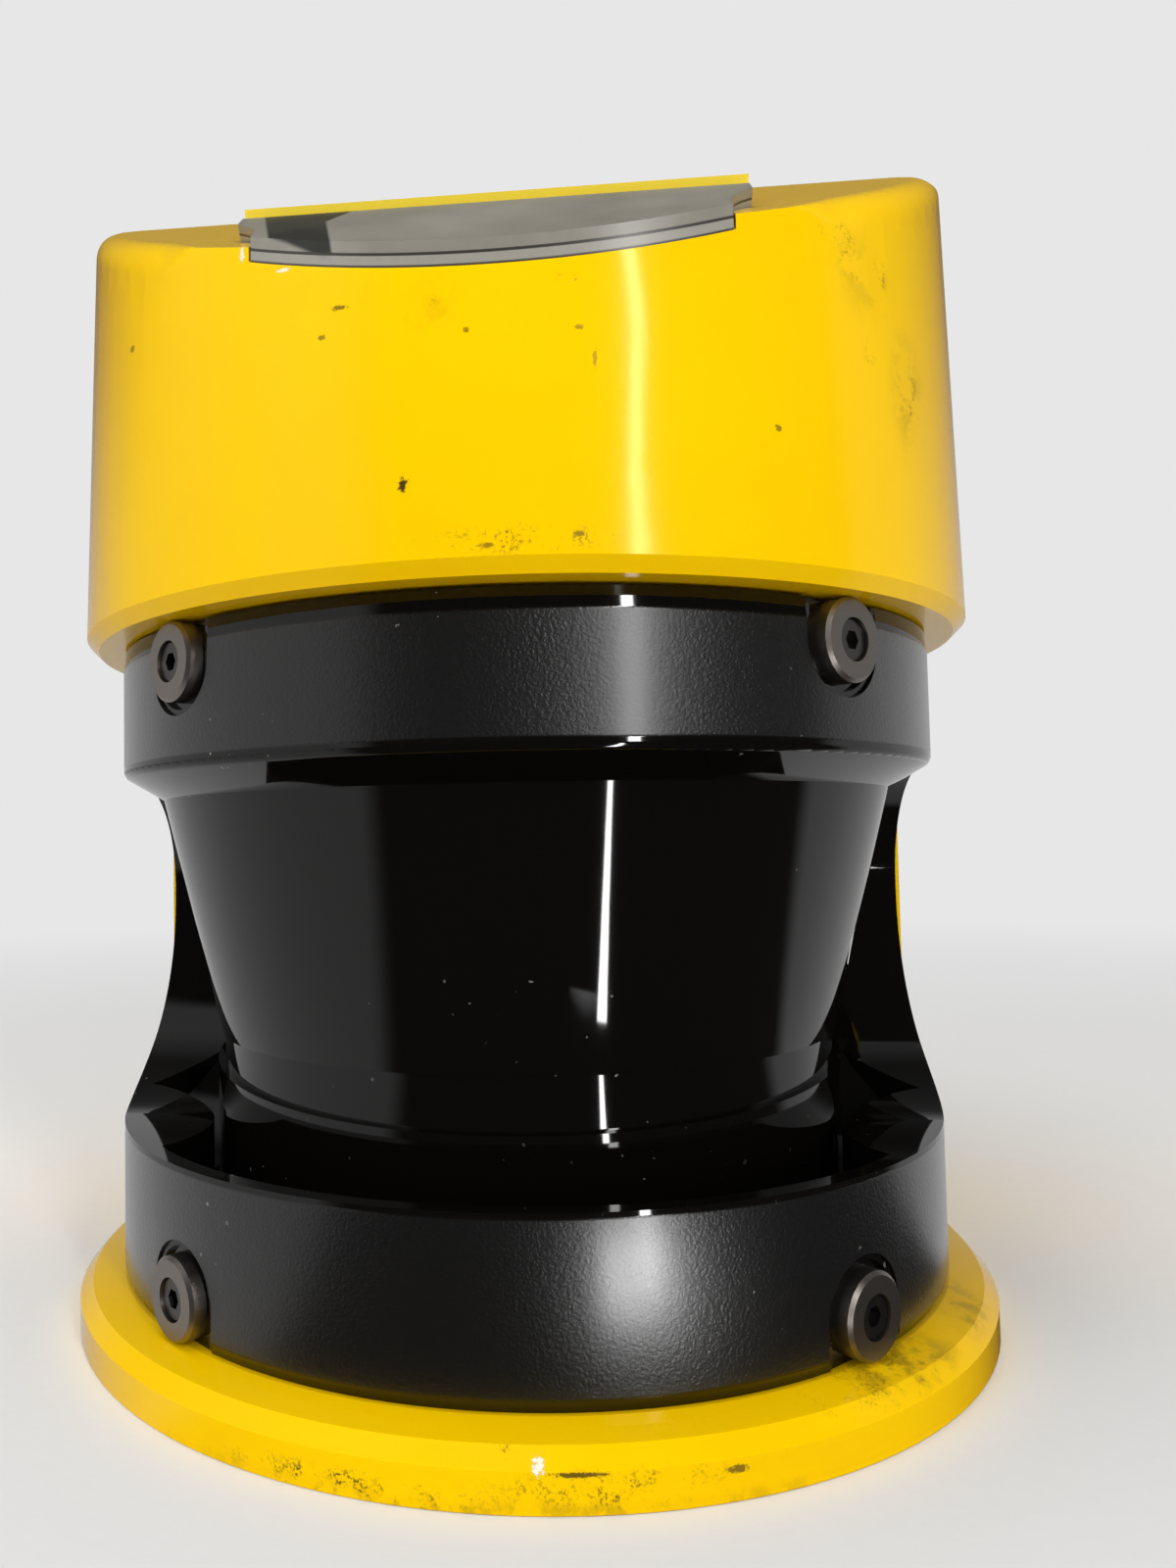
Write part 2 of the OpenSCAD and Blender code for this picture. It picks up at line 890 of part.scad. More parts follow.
module board_screws() {
    color("silver") {
        for (p = main_posts)
            translate([p[0], main_board_y, p[1]])
                rotate([90, 0, 0])
                    socket_screw(m3_r, 2.75, 1.8, 6.5, 2);
        for (p = power_posts)
            translate([p[0], power_board_y, p[1]])
                rotate([90, 0, 0])
                    socket_screw(m3_r, 2.75, 1.8, 6.5, 2);
    }
}

// ---- Receiver ----

lens_edge = 3;
lens_flat_r = lens_r - 2;
lens_sphere = 70;
lens_top = lens_z + lens_edge;
neck_r = 16;
neck_z = detector_z - 6;

module receiver_tube() {
    color([0.12, 0.12, 0.13])
        difference() {
            union() {
                disc(tube_r, tube_mouth, deck_z + 3);
                disc(tube_flange_r, deck_z, deck_z + 3);
                translate([0, 0, deck_z + 3])
                    cylinder(r1 = tube_r, r2 = neck_r, h = neck_z - deck_z - 3);
                disc(neck_r, neck_z, detector_z);
            }
            disc(lens_r - 1.5, tube_mouth - 1, lens_z + 1);
            disc(lens_r + 0.1, lens_z, deck_z + 3);
            translate([0, 0, deck_z + 3])
                cylinder(r1 = lens_r + 0.1, r2 = neck_r - tube_t, h = neck_z - deck_z - 3);
            disc(neck_r - tube_t, neck_z - 0.01, detector_z + 1);
        }
}

module receiver_lens() {
    color([0.75, 0.2, 0.2, 0.6])
        difference() {
            union() {
                disc(lens_r, lens_z, lens_top);
                intersection() {
                    translate([0, 0, lens_top - sqrt(pow(lens_sphere, 2) - pow(lens_flat_r, 2))])
                        sphere(lens_sphere);
                    disc(lens_flat_r, lens_z + 1, lens_z + 40);
                }
            }
            disc(emitter_r + 0.05, lens_z - 1, lens_z + 40);
        }
}

module lens_ring() {
    color([0.1, 0.1, 0.1])
        ring(lens_r + 0.1 - fit, lens_flat_r + 0.2, lens_top, lens_top + 3);
}

emitter_z = [lens_z - 4, lens_z + 26];
emitter_bore = emitter_r - 1.5;

module emitter_tube() {
    color("silver")
        difference() {
            disc(emitter_r, emitter_z[0], emitter_z[1]);
            disc(emitter_bore - 1, emitter_z[0] - 1, emitter_z[1]);
            disc(emitter_bore, emitter_z[0] + 2, emitter_z[1] + 1);
        }
}

module collimator_lens() {
    color([0.7, 0.8, 0.9, 0.6])
        intersection() {
            disc(emitter_bore - fit, emitter_z[0] + 2, emitter_z[0] + 6);
            translate([0, 0, emitter_z[0] + 5 - 12])
                sphere(12);
        }
}

module laser_diode() {
    color("goldenrod") {
        disc(emitter_bore - fit, emitter_z[1] - 4, emitter_z[1] - 2);
        disc(2.4, emitter_z[1] - 7, emitter_z[1] - 4);
    }
}

module detector_board() {
    color("darkgreen")
        block([-22, -18, detector_z], [22, 18, detector_z + board_t]);
}

module light_detector() {
    color([0.1, 0.1, 0.1])
        disc(6, detector_z - 3, detector_z);
}

// ---- Motor ----

module motor_plate() {
    color("silver")
        difference() {
            union() {
                disc(plate_r, floor_z, floor_z + plate_t);
                disc(hub_r + 1.6, floor_z, stator_z[0]);
                disc(hub_r, floor_z, hub_top);
            }
            disc(bearing_r, floor_z - 1, bearing_low + bearing_w);
            disc(bearing_r - 1.4, floor_z, hub_top);
            disc(bearing_r, bearing_high, hub_top + 1);
            for (p = motor_screw_at)
                translate([p[0], p[1], floor_z - 1])
                    cylinder(r = m4_r + 0.1, h = plate_t + 2);
        }
}

module motor_screws() {
    color("gray")
        for (p = motor_screw_at)
            translate([p[0], p[1], floor_z + plate_t])
                socket_screw(m4_r, m4_head_r, m4_head_h, plate_t + 3, 2.5);
}

// A ball bearing with its lower face at Z = 0: two grooved races and seven balls.
module ball_bearing() {
    mid = (bearing_r + shaft_r) / 2;
    ball_r = (bearing_r - shaft_r) / 4;
    half_gap = ball_r * 0.45;
    difference() {
        ring(bearing_r - fit, shaft_r + fit, 0, bearing_w);
        ring(mid + half_gap, mid - half_gap, -1, bearing_w + 1);
        translate([0, 0, bearing_w / 2])
            rotate_extrude()
                translate([mid, 0])
                    circle(ball_r + 0.02);
    }
    for (a = [0:6])
        rotate([0, 0, a * 360 / 7])
            translate([mid, 0, bearing_w / 2])
                sphere(ball_r);
}

module lower_bearing() {
    color("lightgray")
        translate([0, 0, bearing_low])
            ball_bearing();
}

module upper_bearing() {
    color("lightgray")
        translate([0, 0, bearing_high])
            ball_bearing();
}

teeth = 9;
tooth_w = 4;
yoke_r = hub_r + 3;
coil_t = 1.6;

// Plan of the laminated core: a yoke, its teeth and their wide tips.
module core_plan() {
    difference() {
        union() {
            circle(yoke_r);
            for (i = [1:teeth])
                rotate(i * 360 / teeth)
                    translate([yoke_r - 1, -tooth_w / 2])
                        square([core_r - yoke_r, tooth_w]);
            difference() {
                circle(core_r);
                circle(core_r - 2);
                for (i = [1:teeth])
                    rotate((i + 0.5) * 360 / teeth)
                        translate([core_r - 5, -1.2])
                            square([7, 2.4]);
            }
        }
        circle(hub_r + fit);
    }
}

module stator_core() {
    color("slategray")
        translate([0, 0, stator_z[0]])
            linear_extrude(stator_z[1] - stator_z[0])
                core_plan();
}

module stator_coils() {
    color("chocolate")
        for (i = [1:teeth])
            rotate([0, 0, i * 360 / teeth])
                difference() {
                    block([yoke_r + 0.1, -tooth_w / 2 - coil_t, stator_z[0] - coil_t],
                          [core_r - 2.7, tooth_w / 2 + coil_t, stator_z[1] + coil_t]);
                    block([yoke_r - 1, -tooth_w / 2 - fit, stator_z[0] - fit],
                          [core_r, tooth_w / 2 + fit, stator_z[1] + fit]);
                }
}

motor_board_z = floor_z + 3;
fork_y = carrier_disc_r + 1.2;

module motor_board() {
    color("darkgreen")
        block([-30, 52, motor_board_z], [30, 58, motor_board_z + board_t]);
}

module encoder_reader() {
    disc_z = carrier_z - encoder_t / 2;
    color([0.1, 0.1, 0.1])
        difference() {
            union() {
                block([-5, 52, motor_board_z + board_t], [5, 58, disc_z + 4]);
                block([-5, fork_y, disc_z - 4], [5, 58, disc_z + 4]);
            }
            block([-6, fork_y - 1, disc_z - 1.3], [6, encoder_r + 3, disc_z + 1.3]);
        }
}

// ---- Window dirt sensors ----

sensor_angles = [-24, -12, 0, 12, 24];

// A flat board that follows the front arc between two radii.
module arc_board(r_in, r_out, low, half_angle) {
    rotate([0, 0, 270 - half_angle])
        rotate_extrude(angle = 2 * half_angle)
            translate([r_in, low])
                square([r_out - r_in, board_t]);
}

module dust_sender_board() {
    color("darkgreen")
        arc_board(collar_r + 1, drum_r - drum_wall - 1, flange_h, 32);
}

module dust_senders() {
    color([0.85, 0.85, 0.9])
        for (a = sensor_angles)
            rotate([0, 0, a])
                translate([0, -collar_r - 4.5, flange_h + board_t])
                    cylinder(r = 1.5, h = groove_z - cover_t - flange_h - board_t - 1);
}

receiver_board_r = [tube_r + 3, drum_r - screw_length - 1.5];

module dust_receiver_board() {
    color("darkgreen")
        arc_board(receiver_board_r[0], receiver_board_r[1], deck_z - deck_t - board_t - 0.02, 75);
}

module dust_receivers() {
    color([0.1, 0.1, 0.1])
        for (a = sensor_angles)
            rotate([0, 0, a * 2])
                translate([0, -receiver_board_r[1] + 4, deck_z - deck_t - board_t - 4.02])
                    cylinder(r = 2, h = 4);
}

// ---- Spinning mirror ----

module rotor_shaft() {
    color("silver")
        disc(shaft_r, bearing_low - 0.5, carrier_z + carrier_t);
}

module rotor_bell() {
    color("lightslategray")
        difference() {
            disc(bell_in + bell_t, bell_z[0], bell_z[1]);
            disc(bell_in, bell_z[0] - 1, bell_z[1] - bell_t);
            disc(shaft_r + 0.01, 0, far);
        }
}

module magnet_ring() {
    color([0.25, 0.25, 0.27])
        ring(bell_in - 0.01, bell_in - magnet_t, bell_z[0] + 0.5, stator_z[1] + 1);
}

module encoder_disc() {
    color("lightgray")
        difference() {
            ring(encoder_r, hub_r, carrier_z - encoder_t, carrier_z);
            for (i = [1:encoder_slots])
                rotate([0, 0, i * 360 / encoder_slots])
                    block([encoder_r - 2.6, -0.9, 0], [encoder_r - 0.9, 0.9, far]);
        }
}

// The space in front of the mirror's plane, set back by t.
module mirror_front(t) {
    translate([0, 0, scan_z])
        rotate([45, 0, 0])
            translate([-far / 2, -far / 2, -t])
                cube([far, far, far]);
}

module mirror_carrier() {
    color([0.2, 0.2, 0.22])
        difference() {
            union() {
                disc(carrier_disc_r, carrier_z, carrier_z + carrier_t);
                disc(hub_r - 0.1, bell_z[1], carrier_z + 1);
                disc(carrier_r, carrier_z, scan_z + mirror_r + 1);
            }
            intersection() {
                mirror_front(mirror_t);
                disc(carrier_r + 0.5, carrier_z + 1, far);
            }
            disc(shaft_r + 0.01, 0, carrier_z + carrier_t);
        }
}

module scan_mirror() {
    color([0.8, 0.85, 0.9])
        intersection() {
            difference() {
                mirror_front(mirror_t);
                mirror_front(0);
            }
            disc(mirror_r, carrier_z, far);
        }
}

module balance_weight() {
    color("gray")
        block([-9, -carrier_disc_r + 3, carrier_z + carrier_t],
              [9, -carrier_r - 2, carrier_z + carrier_t + 6]);
}

base_casting();
optics_cover();
cover_seals();
cover_bushes();
cover_screws();
top_cover();
cap_gasket();
cap_screws();
display_window();
display_mask();
status_lenses();
digit_display();
indicator_board();
io_socket();
io_pins();
io_board();
config_socket();
config_cap();
vent_plug();
main_board();
main_board_parts();
power_board();
power_board_parts();
board_posts();
board_screws();
receiver_tube();
receiver_lens();
lens_ring();
emitter_tube();
collimator_lens();
laser_diode();
detector_board();
light_detector();
motor_plate();
motor_screws();
lower_bearing();
upper_bearing();
stator_core();
stator_coils();
motor_board();
encoder_reader();
dust_sender_board();
dust_senders();
dust_receiver_board();
dust_receivers();
rotor_shaft();
rotor_bell();
magnet_ring();
encoder_disc();
mirror_carrier();
scan_mirror();
balance_weight();
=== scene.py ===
import math

import bmesh
import bpy
import numpy as np
from mathutils import Matrix, Vector


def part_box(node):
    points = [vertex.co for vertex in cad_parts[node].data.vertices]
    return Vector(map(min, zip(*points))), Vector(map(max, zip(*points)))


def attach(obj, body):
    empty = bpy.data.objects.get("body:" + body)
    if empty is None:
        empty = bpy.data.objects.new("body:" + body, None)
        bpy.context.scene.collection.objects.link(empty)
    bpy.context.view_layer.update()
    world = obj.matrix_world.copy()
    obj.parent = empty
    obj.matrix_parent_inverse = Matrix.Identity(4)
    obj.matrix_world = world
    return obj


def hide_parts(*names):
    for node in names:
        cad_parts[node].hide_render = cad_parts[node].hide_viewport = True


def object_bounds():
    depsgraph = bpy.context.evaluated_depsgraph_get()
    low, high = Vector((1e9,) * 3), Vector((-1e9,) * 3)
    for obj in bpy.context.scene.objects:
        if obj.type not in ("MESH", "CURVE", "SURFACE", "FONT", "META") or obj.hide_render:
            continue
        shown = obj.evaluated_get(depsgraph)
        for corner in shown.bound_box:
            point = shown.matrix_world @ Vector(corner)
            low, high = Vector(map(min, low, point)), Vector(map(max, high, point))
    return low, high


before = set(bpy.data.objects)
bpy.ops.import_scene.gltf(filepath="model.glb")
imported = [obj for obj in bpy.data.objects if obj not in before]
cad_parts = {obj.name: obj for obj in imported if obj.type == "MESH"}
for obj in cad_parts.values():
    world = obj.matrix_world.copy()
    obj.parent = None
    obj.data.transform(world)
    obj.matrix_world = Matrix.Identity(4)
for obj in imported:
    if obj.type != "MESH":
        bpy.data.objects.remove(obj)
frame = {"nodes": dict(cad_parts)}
cadLow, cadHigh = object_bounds()
nodes = frame["nodes"]
capLow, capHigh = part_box("top_cover")
slope = {"foot": 0.1514, "angle": 32.2}     # the cap's sloping front: height at its foot, degrees


class Wire:
    # what runs between nodes; plain arithmetic on it adds Math nodes
    def __init__(self, nodes, socket):
        self.nodes = nodes
        self.socket = socket

    def math(self, operation, *others, clamp=False):
        parts = dict(enumerate((self,) + others))
        return self.nodes.node("Math", {"operation": operation, "use_clamp": clamp}, parts)

    def __add__(self, other):
        return self.math("ADD", other)

    __radd__ = __add__

    def __sub__(self, other):
        return self.math("SUBTRACT", other)

    def __rsub__(self, other):
        return self.nodes.node("Math", {"operation": "SUBTRACT"}, {0: other, 1: self})

    def __mul__(self, other):
        return self.math("MULTIPLY", other)

    __rmul__ = __mul__

    def power(self, other):
        return self.math("POWER", other)

    def most(self, other):
        return self.math("MAXIMUM", other)

    def least(self, other):
        return self.math("MINIMUM", other)

    def size(self):
        return self.math("ABSOLUTE")

    # 0 up to low, 1 from high on, a smooth step between them
    def rise(self, low, high):
        sockets = {"Value": self, "From Min": low, "From Max": high}
        return self.nodes.node("MapRange", {"interpolation_type": "SMOOTHSTEP"}, sockets)

    # 1 between low and high, fading to 0 over the soft distance outside them
    def between(self, low, high, soft):
        return self.rise(low - soft, low) * (1 - self.rise(high, high + soft))


class Nodes:
    # the nodes of one material or world
    def __init__(self, owner):
        owner.use_nodes = True
        self.tree = owner.node_tree
        self.tree.nodes.clear()

    # a node of this kind: its settings come first, then each socket's value or link
    def node(self, kind, settings=None, sockets=None, out=0):
        made = self.tree.nodes.new("ShaderNode" + kind)
        for name, value in (settings or {}).items():
            setattr(made, name, value)
        for name, value in (sockets or {}).items():
            if isinstance(value, Wire):
                self.tree.links.new(value.socket, made.inputs[name])
            else:
                made.inputs[name].default_value = value
        return made if out is None else Wire(self, made.outputs[out])

    # the outputs of this node that are named or numbered
    def wires(self, made, outputs):
        return [Wire(self, made.outputs[output]) for output in outputs]


class Finish(Nodes):
    # one material, and the place on the object that its nodes work from
    def __init__(self, name):
        self.material = bpy.data.materials.new(name)
        super().__init__(self.material)
        self.place = self.node("TexCoord", out="Object")
        cut = self.node("SeparateXYZ", sockets={0: self.place}, out=None)
        self.x, self.y, self.z = self.wires(cut, range(3))

    def noise(self, scale, detail=2.0, rough=0.5, stretch=(1, 1, 1), shift=(0, 0, 0)):
        place = self.place
        if stretch != (1, 1, 1) or shift != (0, 0, 0):
            place = self.node("Mapping", sockets={0: place, "Scale": stretch, "Location": shift})
        sockets = {"Vector": place, "Scale": scale, "Detail": detail, "Roughness": rough}
        return self.node("TexNoise", sockets=sockets)

    def mix(self, share, first, second):
        sockets = {0: share, 6: first, 7: second}
        return self.node("Mix", {"data_type": "RGBA"}, sockets, out=2)

    # distance from a point, each axis divided by its own reach: 1 on the ellipsoid
    def reach(self, centre, size):
        moved = self.node("VectorMath", {"operation": "SUBTRACT"}, {0: self.place, 1: centre})
        scaled = self.node("VectorMath", {"operation": "DIVIDE"}, {0: moved, 1: size})
        return self.node("VectorMath", {"operation": "LENGTH"}, {0: scaled}, out="Value")

    def bump(self, height, distance, strength=1.0):
        sockets = {"Height": height, "Distance": distance, "Strength": strength}
        return self.node("Bump", sockets=sockets)

    def shade(self, **sockets):
        named = {name.replace("_", " "): value for name, value in sockets.items()}
        shader = self.node("BsdfPrincipled", sockets=named)
        self.node("OutputMaterial", sockets={0: shader}, out=None)
        return self.material


# a colour as it is seen on a screen, 0 to 255, turned to the linear one that shaders take
def tint(red, green, blue):
    seen = np.array([red, green, blue], float) / 255
    linear = np.where(seen <= 0.04045, seen / 12.92, ((seen + 0.055) / 1.055) ** 2.4)
    return (*linear, 1.0)


yellow = {
    "colour": tint(247, 199, 0),
    "shade": tint(236, 184, 0),
    # painted shade: the colour that surfaces turning away from the view are darkened to
    "edge": tint(186, 138, 0),
    "grime": tint(70, 54, 16),
    "olive": tint(120, 100, 12),
    "chip": tint(240, 236, 220),
    # painted highlight: the paler yellow of the hood's front edge above the sloping front
    "lipHighlight": tint(247, 222, 70),
    "lipHighlightDepth": -0.0568,        # behind this the hood over the display is plain yellow, without the painted highlight
    "lipHighlightReach": 0.0390,
    "paintedShadeFrom": 0.35,         # from here on a surface that turns away from the view darkens: painted shade
    "paintedShadeShare": 0.85,
    "paintedShadeOnSlope": 0.05,
    "gleam": (1.0, 0.9, 0.5, 1.0),
    "roughness": 0.10,
    "specular": 0.2,
    "cloudSize": 18,
    "raggedSize": 2300,
    "patchSize": 210,
    "peelSize": 420,
    "peelHeight": 0.000012,
}


# the strongest of several amounts, each worked out by the same rule from one mark
def strongest(marks, rule):
    total = None
    for mark in marks:
        here = rule(*mark)
        total = here if total is None else total.most(here)
    return total


# marks is a dictionary of lists: spots, smears, grime and chips, each a centre, a reach
# on each axis and a strength
def yellowPaint(name, marks):
    f = Finish(name)
    cloud = f.noise(yellow["cloudSize"], 3, 0.55)
    # painted shade: where the surface turns away from the view its colour is darkened towards the
    # edge colour, only a little on the sloping front
    turned = f.node("LayerWeight", sockets={"Blend": 0.35}, out="Facing")
    colour = f.mix(cloud.rise(0.35, 0.75) * 0.5, yellow["colour"], yellow["shade"])
    below = (f.y - capLow.y) * math.tan(math.radians(slope["angle"])) + slope["foot"] - f.z
    onSlope = 1 - below.rise(0.001, 0.005)
    share = onSlope * (yellow["paintedShadeOnSlope"] - yellow["paintedShadeShare"]) + yellow["paintedShadeShare"]
    turned = turned.rise(yellow["paintedShadeFrom"], 1.0) * share
    colour = f.mix(turned, colour, yellow["edge"])
    # painted highlight: the front of the hood over the display, above the sloping front, is painted
    # paler yellow
    lipHighlight = f.x.size().rise(yellow["lipHighlightReach"], yellow["lipHighlightReach"] + 0.002)
    lipHighlight = (1 - below.rise(-0.0012, -0.0008)) * (1 - lipHighlight)
    lipHighlight = lipHighlight * (1 - f.y.rise(yellow["lipHighlightDepth"], yellow["lipHighlightDepth"] + 0.0004))
    colour = f.mix(lipHighlight, colour, yellow["lipHighlight"])
    ragged = f.noise(yellow["raggedSize"], 4, 0.7)
    specks = ragged.rise(0.50, 0.58)
    patches = f.noise(yellow["patchSize"], 4, 0.7).rise(0.46, 0.60)

    # how much of each mark is at a place, from its middle out to its ragged or soft border
    def border(raggedness, start):
        uneven = ragged * raggedness - raggedness / 2
        return lambda centre, size, strength: (
            (1 - (f.reach(centre, size) + uneven).rise(start, 1.0)) * strength
        )

    def soft(start):
        return lambda centre, size, strength: (
            (1 - f.reach(centre, size).rise(start, 1.0)) * strength
        )

    spots = strongest(marks["spots"], border(2.4, 0.5))
    smears = strongest(marks["smears"], soft(0.3)) * specks * patches
    grime = strongest(marks["grime"], soft(0.2)) * (patches * 0.8 + 0.2)
    chips = strongest(marks["chips"], border(3.0, 0.7))
    colour = f.mix(grime, colour, yellow["olive"])
    dirt = spots.most(smears)
    colour = f.mix(dirt, colour, yellow["grime"])
    colour = f.mix(chips, colour, yellow["chip"])
    peel = f.noise(yellow["peelSize"], 2, 0.5)
    roughness = cloud * 0.05 + yellow["roughness"] + dirt * 0.35 + grime * 0.3 + chips * 0.3
    return f.shade(
        Base_Color=colour,
        Roughness=roughness.least(0.9),
        Specular_IOR_Level=yellow["specular"],
        Specular_Tint=yellow["gleam"],
        Normal=f.bump(peel - chips * 3, yellow["peelHeight"]),
    )


black = {
    "gloss": tint(9, 7, 6),
    "satin": tint(13, 12, 12),
    "glossRoughness": 0.035,
    "satinRoughness": 0.34,
    "grainSize": 2100,
    "grainHeight": 0.00010,
    "ringFaces": ((0.0099, 0.0309), (0.0908, 0.1064)),     # heights of the satin bands
    "outerRadius": 0.0701,
    "edge": 0.0003,             # how soft the satin's borders are
    "dust": tint(150, 148, 142),
    "dustSize": 900,
    "dustRarity": 0.775,        # nearer to 1 leaves fewer specks
    "coatRoughness": 0.24,
    "coatIOR": 1.38,
}


def coverBlack(name):
    f = Finish(name)
    radius = (f.x * f.x + f.y * f.y).power(0.5)
    outer = radius.rise(black["outerRadius"], black["outerRadius"] + black["edge"])
    satin = None
    for low, high in black["ringFaces"]:
        band = f.z.between(low, high, 0.0005)
        satin = band if satin is None else satin.most(band)
    satin = satin * outer
    grain = f.noise(black["grainSize"], 2, 0.6)
    dust = f.noise(black["dustSize"], 1, 0.4)
    dust = dust.rise(black["dustRarity"], black["dustRarity"] + 0.015)
    dust = dust * f.noise(30, 2, 0.5).rise(0.5, 0.65)
    colour = f.mix(satin, black["gloss"], black["satin"])
    colour = f.mix(dust * 0.6, colour, black["dust"])
    haze = f.noise(40, 3, 0.6) * 0.02
    roughness = satin * (black["satinRoughness"] - black["glossRoughness"]) + haze
    roughness = roughness + black["glossRoughness"] + dust * 0.3
    return f.shade(
        Base_Color=colour,
        Roughness=roughness,
        IOR=1.46,
        Coat_Weight=satin,
        Coat_Roughness=black["coatRoughness"],
        Coat_IOR=black["coatIOR"],
        Normal=f.bump(grain * satin, black["grainHeight"]),
    )


# moulded or rubbery plastic: a flat colour with a fine grain and a little cloudiness
def plastic(name, colour, roughness, grainSize=1400, grainHeight=0.00002, **more):
    f = Finish(name)
    grain = f.noise(grainSize, 2, 0.5)
    cloud = f.noise(60, 3, 0.5)
    darker = tuple(c * 0.8 for c in colour[:3]) + (1.0,)
    return f.shade(
        Base_Color=f.mix(cloud * 0.5, colour, darker),
        Roughness=cloud * 0.08 + roughness,
        Normal=f.bump(grain, grainHeight),
        **more,
    )


# metal: turning or brushing marks across the given axis, and a slightly uneven tone
def metal(name, colour, roughness, stretch=(1, 1, 12), markSize=160, markHeight=0.000012):
    f = Finish(name)
    marks = f.noise(markSize, 3, 0.6, stretch=stretch)
    cloud = f.noise(45, 3, 0.5)
    darker = tuple(c * 0.72 for c in colour[:3]) + (1.0,)
    return f.shade(
        Base_Color=f.mix(cloud * 0.6, colour, darker),
        Metallic=1.0,
        Roughness=marks * 0.12 + roughness,
        Normal=f.bump(marks, markHeight),
    )


# the display window: tones of its face, of the strip and the lines on its front rim, and of
# the painted reflection of a dark shape on its left end
smoke = {
    "face": tint(132, 128, 117),
    "paler": tint(150, 146, 136),
    "strip": tint(156, 152, 142),
    "line": tint(58, 55, 50),
    # painted reflection: the tone of a dark shape mirrored on the face
    "reflectionTone": tint(40, 40, 34),
    "foot": 0.1477,             # height where its underside meets the cap's front
    "angle": 40.0,
    # corners of the painted dark reflection across and up the face, in metres
    "form": (
        (-0.0330, 0.0298),
        (-0.0191, 0.0247),
        (-0.0221, 0.0189),
        (-0.0193, 0.0048),
        (-0.0287, 0.0112),
    ),
    "formEdge": 0.0003,
    # from and to which height over its underside the rim is pale or dark, in metres
    "stripAt": (0.0003, 0.0012),
    "lineAt": (0.0012, 0.0014),
    "roughness": 0.2,
    "seeThrough": 0.12,
}


def smokeWindow(name):
    f = Finish(name)
    up, out = math.cos(math.radians(smoke["angle"])), math.sin(math.radians(smoke["angle"]))
    y, z = f.y - capLow.y, f.z - smoke["foot"]
    rise, height = y * up + z * out, z * up - y * out
    cloud = f.noise(55, 4, 0.6)
    grain = f.noise(1300, 2, 0.6)
    colour = f.mix(cloud.rise(0.3, 0.8), smoke["face"], smoke["paler"])

    # 1 on the left of the way from one corner to the next
    def beside(start, end):
        (x0, r0), (x1, r1) = smoke["form"][start], smoke["form"][end]
        away = math.hypot(x1 - x0, r1 - r0)
        side = (rise - r0) * ((x1 - x0) / away) - (f.x - x0) * ((r1 - r0) / away)
        return (0 - side).rise(-0.0002, smoke["formEdge"])

    # painted reflection: a dark shape mirrored on the face is painted into its colour
    notch = beside(1, 2).most(beside(2, 3))
    form = beside(0, 1) * notch * beside(3, 4) * beside(4, 0)
    colour = f.mix(form * (0.75 + cloud * 0.4), colour, smoke["reflectionTone"])
    strip = height.between(*smoke["stripAt"], 0.00008)
    foot = 1 - height.rise(0.0001, smoke["stripAt"][0])
    line = height.between(*smoke["lineAt"], 0.0001).most(foot)
    colour = f.mix(strip * (0.6 + grain * 0.5), colour, smoke["strip"])
    colour = f.mix(line, colour, smoke["line"])
    return f.shade(
        Base_Color=colour,
        Roughness=cloud * 0.2 + smoke["roughness"],
        IOR=1.49,
        Transmission_Weight=smoke["seeThrough"],
        Normal=f.bump(grain, 0.00001),
    )


def clearPart(name, colour, roughness=0.03, ior=1.5):
    f = Finish(name)
    smear = f.noise(35, 3, 0.6)
    return f.shade(
        Base_Color=colour,
        Roughness=smear * 0.05 + roughness,
        IOR=ior,
        Transmission_Weight=1.0,
    )


def circuitBoard(name):
    f = Finish(name)
    layout = {"Scale": 160, "Mortar Size": 0.03, "Brick Width": 0.9, "Row Height": 0.35}
    settings = {"offset": 0.5, "squash": 1.0}
    tracks = f.node("TexBrick", settings, {"Vector": f.place, **layout}, out="Fac")
    weave = f.noise(900, 2, 0.5)
    colour = f.mix(tracks, tint(20, 84, 46), tint(34, 112, 62))
    return f.shade(Base_Color=colour, Roughness=weave * 0.1 + 0.32, Normal=f.bump(tracks, 0.00002))


def frontMirror(name):
    f = Finish(name)
    haze = f.noise(60, 3, 0.5)
    return f.shade(Base_Color=tint(236, 234, 230), Metallic=1.0, Roughness=haze * 0.03 + 0.01)


def winding(name):
    f = Finish(name)
    sockets = {0: f.place, "Scale": 620, "Distortion": 0.4}
    turns = f.node("TexWave", {"bands_direction": "Z"}, sockets)
    colour = f.mix(turns, tint(120, 58, 26), tint(196, 112, 62))
    return f.shade(Base_Color=colour, Metallic=1.0, Roughness=0.34, Normal=f.bump(turns, 0.00006))


